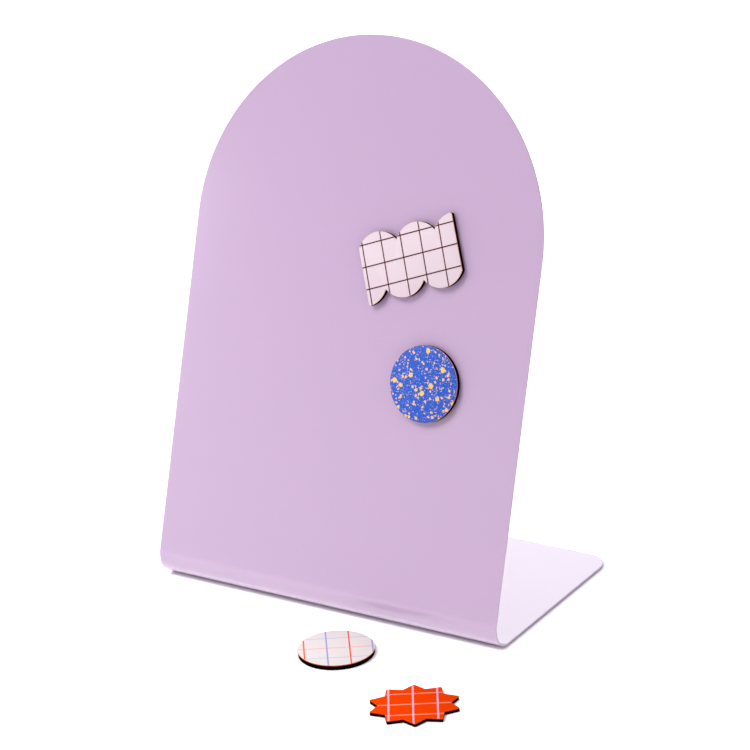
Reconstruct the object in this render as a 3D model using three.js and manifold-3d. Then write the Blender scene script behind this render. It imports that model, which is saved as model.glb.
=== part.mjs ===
// Magnetic memo board. One steel sheet is cut with an arched top, folded once so that its
// foot runs back under the leaning panel, and stands on four thin grip pads. Four loose
// magnets belong to it: two hold on the panel and two lie on the desk in front of it.
// Each magnet is a cut fibreboard core with a printed film on its face and a magnet puck
// glued into a pocket in its back.
// Lengths are millimetres and angles are degrees. +X is the board's right seen from the
// front, +Y its back and +Z up. The origin is the middle of the whole set on the desk.

import * as THREE from 'three';
import * as BufferGeometryUtils from 'three/addons/utils/BufferGeometryUtils.js';
import Module from 'manifold-3d';

// Folded sheet
const SHEET_WIDTH = 210;
const SHEET_THICKNESS = 1;
const PANEL_STRAIGHT = 184;
const PANEL_LEAN_ANGLE = 18.5;
const BEND_OUTER_RADIUS = 12.5;
const FOOT_DEPTH = 112;
const FOOT_CORNER_RADIUS = 13;
const SHEET_EDGE_BREAK = 0.15;
const ARCH_STEPS = 45;
const BEND_STEPS = 24;
const CORNER_STEPS = 9;

// Grip pads, stuck under the flat of the foot
const PAD_DIAMETER = 10;
const PAD_THICKNESS = 0.6;
const PAD_SIDE_MARGIN = 10;
const PAD_REAR_MARGIN = 10;
const PAD_BEND_MARGIN = 5;
const PAD_STEPS = 32;

// Parts that every magnet has
const CORE_THICKNESS = 2.6;
const FILM_THICKNESS = 0.25;
const FILM_SETBACK = 0.1;
const GLUE_LINE = 0.05;
const PUCK_DIAMETER = 10;
const PUCK_THICKNESS = 1;
const PUCK_SIDE_CLEARANCE = 0.15;
const PUCK_RECESS = 0.1;
const PUCK_STEPS = 32;
const POCKET_OVERRUN = 1;
const PANEL_SEAT_GAP = 0.3;

// Round magnets, the speckled one and the gridded one alike
const DISC_DIAMETER = 40;
const DISC_ARC_STEPS = 36;

// Scalloped magnet: two whole lobes and a half one along each long edge
const SCALLOP_LENGTH = 57.8;
const SCALLOP_HEIGHT = 36.8;
const SCALLOP_NOTCH_DEPTH = 6.5;
const SCALLOP_CORNER_RADIUS = 1;
const SCALLOP_WHOLE_LOBES = 2;
const SCALLOP_ARC_STEPS = 9;

// Star magnet, cut from a thinner board: its points lie on an oval and its valleys on
// a smaller one
const STAR_CORE_THICKNESS = 1.75;
const STAR_POINTS = 10;
const STAR_LENGTH = 47.2;
const STAR_HEIGHT = 41.9;
const STAR_VALLEY_LENGTH = 36.4;
const STAR_VALLEY_HEIGHT = 32.6;
const STAR_TIP_CUT_SHARE = 0.08;
const STAR_TIP_STEPS = 2;

// Places of the magnets on the panel: across from its middle as a share of half its
// width, down from the line where the arch begins, and the turn in its plane
const SCALLOP_ACROSS_SHARE = 0.291;
const SCALLOP_BELOW_ARCH = 7.3;
const SCALLOP_TURN = 20.2;
const SPECKLE_ACROSS_SHARE = 0.451;
const SPECKLE_BELOW_ARCH = 69.4;
const SPECKLE_TURN = 0;

// Places of the magnets on the desk: right of the board's middle, ahead of the fold's
// foremost line, and the turn on the desk
const GRID_DISC_RIGHT = 29.5;
const GRID_DISC_AHEAD = 33.7;
const GRID_DISC_TURN = 34;
const STAR_RIGHT = 96.5;
const STAR_AHEAD = 67;
const STAR_TURN = 31.9;

// Sizes that follow from the ones above
const LEAN = THREE.MathUtils.degToRad(PANEL_LEAN_ANGLE);
const QUARTER_TURN = Math.PI / 2;
const BEND_ANGLE = QUARTER_TURN + LEAN;
const BEND_LENGTH = (BEND_OUTER_RADIUS - SHEET_THICKNESS / 2) * BEND_ANGLE;
const ARCH_RADIUS = SHEET_WIDTH / 2;
const ARCH_START = FOOT_DEPTH + BEND_LENGTH + PANEL_STRAIGHT;
const POCKET_DEPTH = PUCK_RECESS + PUCK_THICKNESS + GLUE_LINE;

const CREASE_ANGLE = THREE.MathUtils.degToRad(25);

const finish = (color, roughness, metalness) => (
  new THREE.MeshStandardMaterial({ color, roughness, metalness })
);
const POWDER_COAT = finish(0xd3b8db, 0.38, 0);
const GRIP_RUBBER = finish(0xd9d6dc, 0.8, 0);
const CHARRED_BOARD = finish(0x14100f, 0.85, 0);
const NICKEL = finish(0xb9bbbd, 0.3, 1);
const PINK_PRINT = finish(0xf0dee4, 0.45, 0);
const BLUE_PRINT = finish(0x3e6ce0, 0.45, 0);
const WHITE_PRINT = finish(0xf5ecec, 0.45, 0);
const ORANGE_PRINT = finish(0xff4205, 0.45, 0);

const wasm = await Module();
wasm.setup();

// Gives a geometry crisp edges and smooth rounds, and makes it a named mesh.
function namedMesh(name, geometry, material) {
  const creased = BufferGeometryUtils.toCreasedNormals(geometry, CREASE_ANGLE);
  const mesh = new THREE.Mesh(creased, material);
  mesh.name = name;
  return mesh;
}

// Turns a closed geometry into a solid that can be cut.
function toSolid(geometry) {
  const bare = geometry.clone();
  bare.deleteAttribute('normal');
  bare.deleteAttribute('uv');
  const merged = BufferGeometryUtils.mergeVertices(bare);
  return new wasm.Manifold(new wasm.Mesh({
    numProp: 3,
    vertProperties: new Float32Array(merged.attributes.position.array),
    triVerts: new Uint32Array(merged.index.array),
  }));
}

// Turns a solid back into a geometry.
function toGeometry(solid) {
  const { vertProperties, triVerts } = solid.getMesh();
  const geometry = new THREE.BufferGeometry();
  geometry.setAttribute('position', new THREE.BufferAttribute(vertProperties, 3));
  geometry.setIndex(new THREE.BufferAttribute(triVerts, 1));
  return geometry;
}

// An upright cylinder with its foot at the given height.
function uprightCylinder(diameter, height, foot, steps) {
  const geometry = new THREE.CylinderGeometry(diameter / 2, diameter / 2, height, steps);
  geometry.rotateX(QUARTER_TURN);
  geometry.translate(0, 0, foot + height / 2);
  return geometry;
}

// Folds the flat blank. across is the place over the width, along the distance from the
// foot's rear edge on the sheet's middle layer, and depth the distance in from the face
// that is the foot's underside, the outside of the bend and the front of the panel.
function foldedPoint(across, along, depth) {
  const radius = BEND_OUTER_RADIUS - depth;
  const pastFoot = along - FOOT_DEPTH;
  if (pastFoot <= 0) {
    return [across, -pastFoot, depth];
  }
  const angle = Math.min(pastFoot / BEND_LENGTH, 1) * BEND_ANGLE;
  const upPanel = Math.max(pastFoot - BEND_LENGTH, 0);
  const back = upPanel * Math.sin(LEAN) - radius * Math.sin(angle);
  const up = BEND_OUTER_RADIUS + upPanel * Math.cos(LEAN) - radius * Math.cos(angle);
  return [across, back, up];
}

// The right half of the blank's outline from the rear edge to the arch's top. Each
// station has its half width, its distance along and the outward direction of the edge.
function blankStations() {
  const side = SHEET_WIDTH / 2;
  const cornerCentre = side - FOOT_CORNER_RADIUS;
  const stations = [];
  for (let step = 0; step <= CORNER_STEPS; step++) {
    const angle = QUARTER_TURN * step / CORNER_STEPS;
    stations.push({
      half: cornerCentre + FOOT_CORNER_RADIUS * Math.sin(angle),
      along: FOOT_CORNER_RADIUS - FOOT_CORNER_RADIUS * Math.cos(angle),
      outAcross: Math.sin(angle),
      outAlong: -Math.cos(angle),
    });
  }
  for (let step = 0; step <= BEND_STEPS; step++) {
    const along = FOOT_DEPTH + BEND_LENGTH * step / BEND_STEPS;
    stations.push({ half: side, along, outAcross: 1, outAlong: 0 });
  }
  for (let step = 0; step < ARCH_STEPS; step++) {
    const angle = QUARTER_TURN * step / ARCH_STEPS;
    stations.push({
      half: ARCH_RADIUS * Math.cos(angle),
      along: ARCH_START + ARCH_RADIUS * Math.sin(angle),
      outAcross: Math.cos(angle),
      outAlong: Math.sin(angle),
    });
  }
  stations.push({ half: 0, along: ARCH_START + ARCH_RADIUS, outAcross: 0, outAlong: 1 });
  return stations;
}

// The folded sheet. Every station carries the cut edge's section, a flat edge with a
// small break to each face, once on the right and once on the left. At the arch's top
// both sides share one section.
function sheetGeometry() {
  const edgeSection = [
    { inset: SHEET_EDGE_BREAK, depth: 0 },
    { inset: 0, depth: SHEET_EDGE_BREAK },
    { inset: 0, depth: SHEET_THICKNESS - SHEET_EDGE_BREAK },
    { inset: SHEET_EDGE_BREAK, depth: SHEET_THICKNESS },
  ];
  const positions = [];
  const triangles = [];
  const addSection = (station, sign) => edgeSection.map(({ inset, depth }) => {
    const across = sign * (station.half - inset * station.outAcross);
    const along = station.along - inset * station.outAlong;
    positions.push(...foldedPoint(across, along, depth));
    return positions.length / 3 - 1;
  });
  const addQuad = (a, b, c, d) => {
    for (const corners of [[a, b, c], [a, c, d]]) {
      if (new Set(corners).size === corners.length) {
        triangles.push(...corners);
      }
    }
  };
  const rows = blankStations().map((station) => {
    const right = addSection(station, 1);
    const left = station.half > 0 ? addSection(station, -1) : right;
    return { right, left };
  });
  const last = edgeSection.length - 1;
  for (let j = 0; j < last; j++) {
    const { right, left } = rows[0];
    addQuad(left[j + 1], right[j + 1], right[j], left[j]);
  }
  for (let i = 0; i + 1 < rows.length; i++) {
    const low = rows[i];
    const high = rows[i + 1];
    addQuad(low.right[0], high.right[0], high.left[0], low.left[0]);
    addQuad(low.left[last], high.left[last], high.right[last], low.right[last]);
    for (let j = 0; j < last; j++) {
      addQuad(low.right[j + 1], high.right[j + 1], high.right[j], low.right[j]);
      addQuad(low.left[j], high.left[j], high.left[j + 1], low.left[j + 1]);
    }
  }
  const geometry = new THREE.BufferGeometry();
  geometry.setAttribute('position', new THREE.Float32BufferAttribute(positions, 3));
  geometry.setIndex(triangles);
  return geometry;
}

// Sheet and pads. The pads' undersides lie on the desk.
function makeBoard() {
  const board = new THREE.Group();
  const sheet = namedMesh('board_sheet', sheetGeometry(), POWDER_COAT);
  sheet.position.z = PAD_THICKNESS;
  board.add(sheet);
  const padAcross = SHEET_WIDTH / 2 - PAD_SIDE_MARGIN - PAD_DIAMETER / 2;
  const rows = [
    { name: 'front', back: PAD_BEND_MARGIN + PAD_DIAMETER / 2 },
    { name: 'rear', back: FOOT_DEPTH - PAD_REAR_MARGIN - PAD_DIAMETER / 2 },
  ];
  const sides = [
    { name: 'left', sign: -1 },
    { name: 'right', sign: 1 },
  ];
  for (const row of rows) {
    for (const side of sides) {
      const geometry = uprightCylinder(PAD_DIAMETER, PAD_THICKNESS, 0, PAD_STEPS);
      const pad = namedMesh(`foot_pad_${row.name}_${side.name}`, geometry, GRIP_RUBBER);
      pad.position.set(side.sign * padAcross, row.back, 0);
      board.add(pad);
    }
  }
  return board;
}

// Outline of a round magnet. setback draws the outline in all round.
function discOutline(setback) {
  const shape = new THREE.Shape();
  shape.absarc(0, 0, DISC_DIAMETER / 2 - setback, 0, 2 * Math.PI);
  return shape;
}

// Outline of the scalloped magnet. The upper edge has the whole lobes from the left and
// ends in half a lobe that runs into a small corner; the lower edge is the same edge
// turned half round. A drawn-in lobe keeps its centre and loses radius.
function scallopOutline(setback) {
  const halfLength = SCALLOP_LENGTH / 2;
  const halfLobe = halfLength / (SCALLOP_WHOLE_LOBES + 0.5);
  const squares = halfLobe * halfLobe + SCALLOP_NOTCH_DEPTH * SCALLOP_NOTCH_DEPTH;
  const lobeRadius = squares / (2 * SCALLOP_NOTCH_DEPTH);
  const centreUp = SCALLOP_HEIGHT / 2 - lobeRadius;
  const radius = lobeRadius - setback;
  const side = halfLength - setback;
  const notchAngle = Math.asin(halfLobe / radius);
  const sideAngle = Math.asin((halfLobe - setback) / radius);
  const cornerRadius = SCALLOP_CORNER_RADIUS - setback;
  const cornerReach = lobeRadius - SCALLOP_CORNER_RADIUS;
  const cornerAngle = Math.asin(SCALLOP_CORNER_RADIUS / cornerReach);
  const shape = new THREE.Shape();
  for (const turn of [0, Math.PI]) {
    const sign = Math.cos(turn);
    for (let lobe = 0; lobe < SCALLOP_WHOLE_LOBES; lobe++) {
      const centre = -halfLength + halfLobe * (2 * lobe + 1);
      const start = lobe === 0 ? sideAngle : notchAngle;
      shape.absarc(sign * centre, sign * centreUp, radius,
        QUARTER_TURN + start + turn, QUARTER_TURN - notchAngle + turn, true);
    }
    shape.absarc(sign * halfLength, sign * centreUp, radius,
      QUARTER_TURN + notchAngle + turn, QUARTER_TURN + cornerAngle + turn, true);
    const cornerAcross = side - cornerRadius;
    const cornerUp = centreUp + cornerReach * Math.cos(cornerAngle);
    shape.absarc(sign * cornerAcross, sign * cornerUp, cornerRadius,
      QUARTER_TURN + cornerAngle + turn, turn, true);
  }
  return shape;
}

// Outline of the star magnet. Every tip is cut by a short curve whose ends lie a small
// share of the way down to the two valleys beside it.
function starOutline(setback) {
  const onOval = (length, height, step) => {
    const angle = QUARTER_TURN + Math.PI * step / STAR_POINTS;
    return new THREE.Vector2(
      (length / 2 - setback) * Math.cos(angle),
      (height / 2 - setback) * Math.sin(angle),
    );
  };
  const shape = new THREE.Shape();
  for (let point = 0; point < STAR_POINTS; point++) {
    const before = onOval(STAR_VALLEY_LENGTH, STAR_VALLEY_HEIGHT, 2 * point - 1);
    const tip = onOval(STAR_LENGTH, STAR_HEIGHT, 2 * point);
    const after = onOval(STAR_VALLEY_LENGTH, STAR_VALLEY_HEIGHT, 2 * point + 1);
    const rise = tip.clone().lerp(before, STAR_TIP_CUT_SHARE);
    const fall = tip.clone().lerp(after, STAR_TIP_CUT_SHARE);
    if (point === 0) {
      shape.moveTo(before.x, before.y);
    }
    shape.lineTo(rise.x, rise.y);
    shape.quadraticCurveTo(tip.x, tip.y, fall.x, fall.y);
    shape.lineTo(after.x, after.y);
  }
  return shape;
}

// One magnet lying on its back at height zero, face up: core with its pocket, the puck
// in the pocket and the printed film on the face.
function makeMagnet({ name, outline, arcSteps, thickness, print }) {
  const plate = (setback, depth, foot) => {
    const options = { depth, bevelEnabled: false, curveSegments: arcSteps };
    const geometry = new THREE.ExtrudeGeometry(outline(setback), options);
    return geometry.translate(0, 0, foot);
  };
  const pocketDiameter = PUCK_DIAMETER + 2 * PUCK_SIDE_CLEARANCE;
  const pocket = uprightCylinder(
    pocketDiameter, POCKET_DEPTH + POCKET_OVERRUN, -POCKET_OVERRUN, PUCK_STEPS,
  );
  const core = toSolid(plate(0, thickness, 0)).subtract(toSolid(pocket));
  const film = plate(FILM_SETBACK, FILM_THICKNESS, thickness + GLUE_LINE);
  const puck = uprightCylinder(PUCK_DIAMETER, PUCK_THICKNESS, PUCK_RECESS, PUCK_STEPS);
  const magnet = new THREE.Group();
  magnet.add(namedMesh(`${name}_core`, toGeometry(core), CHARRED_BOARD));
  magnet.add(namedMesh(`${name}_face`, film, print));
  magnet.add(namedMesh(`${name}_puck`, puck, NICKEL));
  return magnet;
}

// A frame on the panel's front face: its origin is where the arch begins, +X is the
// board's right, +Y runs up the panel and +Z points out of the face.
function makePanelFrame() {
  const frame = new THREE.Group();
  const [across, back, up] = foldedPoint(0, ARCH_START, 0);
  frame.position.set(across, back, up + PAD_THICKNESS);
  frame.rotation.x = QUARTER_TURN - LEAN;
  return frame;
}

function placeOnPanel(magnet, acrossShare, belowArch, turn) {
  magnet.position.set(acrossShare * SHEET_WIDTH / 2, -belowArch, PANEL_SEAT_GAP);
  magnet.rotation.z = THREE.MathUtils.degToRad(turn);
  return magnet;
}

function placeOnDesk(magnet, right, ahead, turn) {
  magnet.position.set(right, -BEND_OUTER_RADIUS - ahead, 0);
  magnet.rotation.z = THREE.MathUtils.degToRad(turn);
  return magnet;
}

const scallop = makeMagnet({
  name: 'scallop',
  outline: scallopOutline,
  arcSteps: SCALLOP_ARC_STEPS,
  thickness: CORE_THICKNESS,
  print: PINK_PRINT,
});
const speckleDisc = makeMagnet({
  name: 'speckle_disc',
  outline: discOutline,
  arcSteps: DISC_ARC_STEPS,
  thickness: CORE_THICKNESS,
  print: BLUE_PRINT,
});
const gridDisc = makeMagnet({
  name: 'grid_disc',
  outline: discOutline,
  arcSteps: DISC_ARC_STEPS,
  thickness: CORE_THICKNESS,
  print: WHITE_PRINT,
});
const star = makeMagnet({
  name: 'star',
  outline: starOutline,
  arcSteps: STAR_TIP_STEPS,
  thickness: STAR_CORE_THICKNESS,
  print: ORANGE_PRINT,
});

const panelFrame = makePanelFrame();
panelFrame.add(
  placeOnPanel(scallop, SCALLOP_ACROSS_SHARE, SCALLOP_BELOW_ARCH, SCALLOP_TURN),
  placeOnPanel(speckleDisc, SPECKLE_ACROSS_SHARE, SPECKLE_BELOW_ARCH, SPECKLE_TURN),
);

const set = new THREE.Group();
set.add(
  makeBoard(),
  panelFrame,
  placeOnDesk(gridDisc, GRID_DISC_RIGHT, GRID_DISC_AHEAD, GRID_DISC_TURN),
  placeOnDesk(star, STAR_RIGHT, STAR_AHEAD, STAR_TURN),
);

// The set's origin is the middle of its outline on the desk.
set.updateMatrixWorld(true);
const extent = new THREE.Box3().setFromObject(set, true);
const middle = extent.getCenter(new THREE.Vector3());
set.position.set(-middle.x, -middle.y, -extent.min.z);

const memoBoard = new THREE.Group();
memoBoard.add(set);

export default memoBoard;
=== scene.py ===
"""Looks of a folded steel memo board with four loose printed magnets.

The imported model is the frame, and every piece here takes its place from it. Lengths are metres: a size
is written as a number of millimetres times MM, and the studio's large ones as plain metres. +X is the
board's right seen from the front, +Y its back and +Z up.
"""

import logging
import math
from collections.abc import Callable, Sequence
from dataclasses import dataclass
from enum import Enum

import bmesh
import bpy
import numpy as np
from mathutils import Matrix, Quaternion, Vector
from mathutils.geometry import delaunay_2d_cdt

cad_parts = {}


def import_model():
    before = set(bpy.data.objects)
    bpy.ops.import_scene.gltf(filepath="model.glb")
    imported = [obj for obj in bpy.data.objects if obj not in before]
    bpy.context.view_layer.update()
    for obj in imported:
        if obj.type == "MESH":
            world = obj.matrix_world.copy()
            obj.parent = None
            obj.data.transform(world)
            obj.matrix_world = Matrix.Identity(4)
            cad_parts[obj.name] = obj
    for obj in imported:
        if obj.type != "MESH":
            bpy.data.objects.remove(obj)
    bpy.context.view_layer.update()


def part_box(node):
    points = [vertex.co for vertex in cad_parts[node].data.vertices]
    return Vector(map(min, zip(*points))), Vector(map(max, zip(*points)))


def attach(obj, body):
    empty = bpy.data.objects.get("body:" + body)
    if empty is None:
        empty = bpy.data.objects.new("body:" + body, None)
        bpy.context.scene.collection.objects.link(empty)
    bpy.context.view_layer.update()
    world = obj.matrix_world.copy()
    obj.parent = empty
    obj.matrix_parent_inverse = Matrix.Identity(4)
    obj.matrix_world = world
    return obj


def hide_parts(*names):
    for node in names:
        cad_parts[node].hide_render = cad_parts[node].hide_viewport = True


MM = 0.001
OWN = "own"
SOOT = "soot"
BELOW = "below"
WELD_DISTANCE = 0.001 * MM
SAME_SPOT = 0.00001 * MM
CREASE_ANGLE = math.radians(35)
INK_SOFTNESS = 0.06 * MM

Rgb = tuple[float, float, float]
Number = float | int
log = logging.getLogger("memo_board")


def rgb(red: int, green: int, blue: int) -> Rgb:
    """Turns display values from 0 to 255 into linear light.

    Args:
        red: Red display value.
        green: Green display value.
        blue: Blue display value.

    Returns:
        The three linear values.
    """

    def linear(value: float) -> float:
        """Undoes the display curve of one channel from 0 to 1."""
        return value / 12.92 if value <= 0.04045 else ((value + 0.055) / 1.055) ** 2.4

    return linear(red / 255), linear(green / 255), linear(blue / 255)


# Shader expressions


class Sock:
    """An output socket that takes part in Python sums, each of which adds a Math node."""

    def __init__(self, graph: "Graph", socket: bpy.types.NodeSocket) -> None:
        """Keeps the socket and the graph that it belongs to."""
        self.graph = graph
        self.socket = socket

    def _math(self, operation: str, *operands: "Sock | Number") -> "Sock":
        """Adds one Math node with the operands in order."""
        inputs = dict(enumerate(operands))
        return self.graph.node("ShaderNodeMath", {"operation": operation}, inputs).out()

    def __add__(self, other: "Sock | Number") -> "Sock":
        """Sum."""
        return self._math("ADD", self, other)

    def __radd__(self, other: Number) -> "Sock":
        """Sum with the number first."""
        return self._math("ADD", other, self)

    def __sub__(self, other: "Sock | Number") -> "Sock":
        """Difference."""
        return self._math("SUBTRACT", self, other)

    def __rsub__(self, other: Number) -> "Sock":
        """Difference from a number."""
        return self._math("SUBTRACT", other, self)

    def __mul__(self, other: "Sock | Number") -> "Sock":
        """Product."""
        return self._math("MULTIPLY", self, other)

    def __rmul__(self, other: Number) -> "Sock":
        """Product with the number first."""
        return self._math("MULTIPLY", other, self)

    def __truediv__(self, other: "Sock | Number") -> "Sock":
        """Quotient."""
        return self._math("DIVIDE", self, other)

    def __abs__(self) -> "Sock":
        """Size without sign."""
        return self._math("ABSOLUTE", self)

    def floor(self) -> "Sock":
        """Largest whole number that is not above the value."""
        return self._math("FLOOR", self)

    def modulo(self, period: Number) -> "Sock":
        """Rest after whole periods, never negative."""
        return self._math("FLOORED_MODULO", self, period)

    def larger(self, other: "Sock | Number") -> "Sock":
        """The larger of two values."""
        return self._math("MAXIMUM", self, other)

    def root(self) -> "Sock":
        """Square root."""
        return self._math("SQRT", self)

    def unit(self) -> "Sock":
        """The value held between 0 and 1."""
        return self._math("MINIMUM", self._math("MAXIMUM", self, 0), 1)

    def swing(self, spread: Number) -> "Sock":
        """A value from 0 to 1 turned into one about 0 that is spread wide from end to end."""
        return (self - 0.5) * spread

    def below(self, edge: "Sock | Number", soft: Number) -> "Sock":
        """1 where the value is under edge and 0 where it is over, with a ramp soft wide between."""
        return ((edge - self) / soft + 0.5).unit()


class Added:
    """A node that was just added, whose outputs are read as sockets."""

    def __init__(self, graph: "Graph", made: bpy.types.Node) -> None:
        """Keeps the node and its graph."""
        self.graph = graph
        self.made = made

    def out(self, key: str | int = 0) -> Sock:
        """The output with that name or number."""
        return Sock(self.graph, self.made.outputs[key])


class Graph:
    """The node tree of one material or of the world."""

    def __init__(self, owner: bpy.types.Material | bpy.types.World) -> None:
        """Empties the owner's tree.

        Args:
            owner: The material or the world.
        """
        owner.use_nodes = True
        self.tree = owner.node_tree
        self.tree.nodes.clear()

    def node(self, kind: str, settings: dict | None = None, inputs: dict | None = None) -> Added:
        """Adds a node.

        Args:
            kind: The node's type.
            settings: Attributes of the node, set before its sockets.
            inputs: What goes into its sockets, by name or number: a socket, a number or a tuple.

        Returns:
            The added node.
        """
        made = self.tree.nodes.new(kind)
        for name, value in (settings or {}).items():
            setattr(made, name, value)
        for key, value in (inputs or {}).items():
            target = made.inputs[key]
            if isinstance(value, Sock):
                self.tree.links.new(value.socket, target)
            else:
                target.default_value = value
        return Added(self, made)

    def mix(self, factor: Sock | Number, first: Sock | Rgb, second: Sock | Rgb) -> Sock:
        """Goes from the first colour to the second as factor goes from 0 to 1.

        The Mix node's colours are its inputs 6 and 7 and its output 2.

        Args:
            factor: The second colour's share.
            first: The colour at 0.
            second: The colour at 1.

        Returns:
            The mixed colour.
        """
        settings = {"data_type": "RGBA"}
        ends = [value if isinstance(value, Sock) else (*value, 1.0) for value in (first, second)]
        return self.node("ShaderNodeMix", settings, {0: factor, 6: ends[0], 7: ends[1]}).out(2)

    def noise(self, place: Sock, size: float, detail: float = 2.0) -> Sock:
        """Smooth noise from about 0 to 1 whose lumps are size across."""
        inputs = {"Vector": place, "Scale": 1 / size, "Detail": detail}
        return self.node("ShaderNodeTexNoise", {}, inputs).out(0)

    def object_place(self) -> Sock:
        """The point on the piece in the row's frame, in metres."""
        return self.node("ShaderNodeTexCoord").out("Object")

    def stored(self, name: str, output: str = "Fac") -> Sock:
        """What was stored for each point of the piece: a number from Fac, a place from Vector."""
        return self.node("ShaderNodeAttribute", {"attribute_name": name}).out(output)

    def own_place(self) -> Sock:
        """The point on the piece in the magnet's own frame, in metres."""
        return self.stored(OWN, "Vector")

    def split(self, vector: Sock) -> tuple[Sock, Sock, Sock]:
        """The three parts of a vector."""
        parts = self.node("ShaderNodeSeparateXYZ", {}, {0: vector})
        return parts.out(0), parts.out(1), parts.out(2)

    def combine(self, *parts: Sock | Number) -> Sock:
        """A vector of up to three parts. Those that are left out are 0."""
        return self.node("ShaderNodeCombineXYZ", {}, dict(enumerate(parts))).out()

    def view_rays(self) -> tuple[Sock, Sock]:
        """Tells the rays that show their surroundings from those that only gather light.

        Returns:
            Two values that are 1 or 0. The first is 1 for a ray from the camera, the second also for one
            from a gloss or a clear piece.
        """
        path = self.node("ShaderNodeLightPath")
        eye = path.out("Is Camera Ray")
        return eye, eye.larger(path.out("Is Glossy Ray")).larger(path.out("Is Transmission Ray"))

    def bump(self, height: Sock, depth: float, strength: float = 1.0) -> Sock:
        """A normal that leans as if the height from 0 to 1 were depth deep."""
        inputs = {"Height": height, "Distance": depth, "Strength": strength}
        return self.node("ShaderNodeBump", {}, inputs).out()

    def surface(self, **sockets: Sock | Number | tuple) -> None:
        """Ends the tree in a Principled shader.

        Args:
            sockets: What goes into its sockets, by name with _ for each space.
        """
        inputs = {name.replace("_", " "): value for name, value in sockets.items()}
        shader = self.node("ShaderNodeBsdfPrincipled", {}, inputs)
        self.node("ShaderNodeOutputMaterial", {}, {"Surface": shader.out()})


def new_graph(name: str) -> tuple[bpy.types.Material, Graph]:
    """Makes an empty material.

    Args:
        name: The material's name.

    Returns:
        The material and its graph.
    """
    material = bpy.data.materials.new(name)
    return material, Graph(material)


# Finishes


@dataclass(frozen=True)
class PowderCoat:
    """Semi-gloss powder coat with a fine orange-peel skin."""

    color: Rgb = rgb(198, 168, 203)
    tone_spread: float = 0.01
    tone_size: float = 90 * MM
    peel_size: float = 1.1 * MM
    peel_detail: float = 1.0
    peel_depth: float = 0.0025 * MM
    roughness: float = 0.4
    roughness_spread: float = 0.05
    shine: float = 0.68
    clear_share: float = 1.0
    clear_roughness: float = 0.14
    clear_ior: float = 1.6

    def material(self) -> bpy.types.Material:
        """Tone drifts slowly over the sheet, and peel is fine noise that feeds a bump and roughness.

        Returns:
            The material.
        """
        material, graph = new_graph("lilac_powder_coat")
        place = graph.object_place()
        tone = graph.noise(place, self.tone_size)
        peel = graph.noise(place, self.peel_size, self.peel_detail)
        dark = tuple(value * (1 - self.tone_spread) for value in self.color)
        light = tuple(value * (1 + self.tone_spread) for value in self.color)
        graph.surface(
            Base_Color=graph.mix(tone, dark, light),
            Roughness=self.roughness + peel.swing(self.roughness_spread),
            Specular_IOR_Level=self.shine,
            Coat_Weight=self.clear_share,
            Coat_Roughness=self.clear_roughness,
            Coat_IOR=self.clear_ior,
            Normal=graph.bump(peel, self.peel_depth),
        )
        return material


@dataclass(frozen=True)
class CharredBoard:
    """Fibreboard that a laser has cut: a sooty black edge and a brown back with a soot halo."""

    soot: Rgb = rgb(3, 2, 3)
    scorch: Rgb = rgb(13, 8, 8)
    singed: Rgb = rgb(168, 32, 10)
    fibre: Rgb = rgb(150, 112, 78)
    fibre_dark: Rgb = rgb(116, 82, 55)
    streak_size: float = 0.35 * MM
    streak_detail: float = 3.0
    streak_stretch_share: float = 0.12
    scorch_from: float = 0.45
    scorch_gain: float = 1.5
    fibre_size: float = 0.8 * MM
    fibre_detail: float = 5.0
    halo_ragged: float = 2.0
    singed_depth: float = 0.45 * MM
    skin_depth: float = 0.03 * MM
    roughness: float = 0.82
    roughness_spread: float = 0.2

    def material(self) -> bpy.types.Material:
        """Soot covers the wall, thins over the back's rim, and the wall has fine upright scorch streaks.

        The soot attribute is 1 on the wall and falls to 0 over the back's rim, where fibre noise makes the
        halo ragged. The below attribute is the depth under the top, where the wall is only singed
        red-brown. Streaks are noise whose height is shrunk, so that its lumps stand tall.

        Returns:
            The material.
        """
        material, graph = new_graph("charred_fibreboard")
        across, up, height = graph.split(graph.own_place())
        stretched = graph.combine(across, up, height * self.streak_stretch_share)
        streak = graph.noise(stretched, self.streak_size, self.streak_detail)
        fibre = graph.noise(graph.own_place(), self.fibre_size, self.fibre_detail)
        covered = graph.stored(SOOT)
        below = graph.stored(BELOW)
        soot = (covered + fibre.swing(self.halo_ragged) * covered * (1 - covered)).unit()
        black = graph.mix((streak - self.scorch_from).larger(0) * self.scorch_gain, self.soot, self.scorch)
        wall = graph.mix((below / self.singed_depth).unit(), self.singed, black)
        back = graph.mix(fibre, self.fibre_dark, self.fibre)
        graph.surface(
            Base_Color=graph.mix(soot, back, wall),
            Roughness=self.roughness + streak.swing(self.roughness_spread),
            Specular_IOR_Level=0.0,
            Normal=graph.bump(streak * soot + fibre * (1 - soot), self.skin_depth),
        )
        return material


@dataclass(frozen=True)
class NickelPlate:
    """Bright satin nickel with fine turned rings."""

    color: Rgb = rgb(196, 196, 198)
    stain_share: float = 0.88
    stain_size: float = 3 * MM
    ring_pitch: float = 0.22 * MM
    ring_depth: float = 0.002 * MM
    roughness: float = 0.22
    ring_roughness: float = 0.14

    def material(self) -> bpy.types.Material:
        """Rings are noise over the distance from the puck's middle, and slow noise stains the plate.

        Returns:
            The material.
        """
        material, graph = new_graph("nickel_plate")
        across, up, _ = graph.split(graph.own_place())
        radius = (across * across + up * up).root()
        rings = graph.noise(graph.combine(radius), self.ring_pitch)
        stained = tuple(value * self.stain_share for value in self.color)
        graph.surface(
            Base_Color=graph.mix(graph.noise(graph.own_place(), self.stain_size), self.color, stained),
            Metallic=1.0,
            Roughness=self.roughness + rings * self.ring_roughness,
            Normal=graph.bump(rings, self.ring_depth),
        )
        return material


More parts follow.
